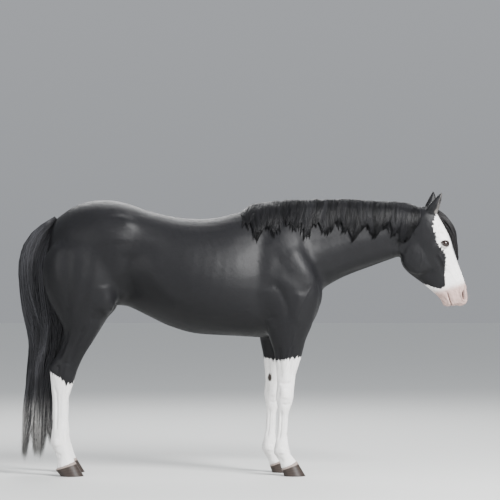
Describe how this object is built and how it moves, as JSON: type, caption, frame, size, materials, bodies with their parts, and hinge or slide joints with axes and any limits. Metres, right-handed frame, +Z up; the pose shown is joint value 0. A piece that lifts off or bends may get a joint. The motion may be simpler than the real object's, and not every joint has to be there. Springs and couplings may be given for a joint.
{
  "type": "standing quarter horse",
  "caption": "Life-size still model of a black bald-faced stock horse with white lower legs, standing square with its neck held low.",
  "frame": {"origin": "on the ground, under the middle of the horse's bounding box", "axes": "+X towards the head, +Y towards the horse's left side, +Z up"},
  "size_m": [2.5829, 0.6266, 1.6318],
  "materials": {
    "coat": "short dense glossy horse hair, black",
    "white_coat": "short dense horse hair, white",
    "long_hair": "coarse long hair, black, paler at the tail's tip",
    "eye": "wet, glossy",
    "hoof": "smooth horn with faint rings"
  },
  "bodies": {
    "root": {"trunk": "coat", "neck": "coat", "head": "coat", "ear_right": "coat", "ear_left": "coat", "forearm_right": "coat", "forearm_left": "coat", "gaskin_right": "coat", "gaskin_left": "coat", "cannon_front_right": "white_coat", "cannon_front_left": "white_coat", "cannon_hind_right": "white_coat", "cannon_hind_left": "white_coat", "tail": "long_hair", "mane": "long_hair", "forelock": "long_hair", "eye_right": "eye", "eye_left": "eye", "hoof_front_right": "hoof", "hoof_front_left": "hoof", "hoof_hind_right": "hoof", "hoof_hind_left": "hoof"}
  },
  "joints": []
}
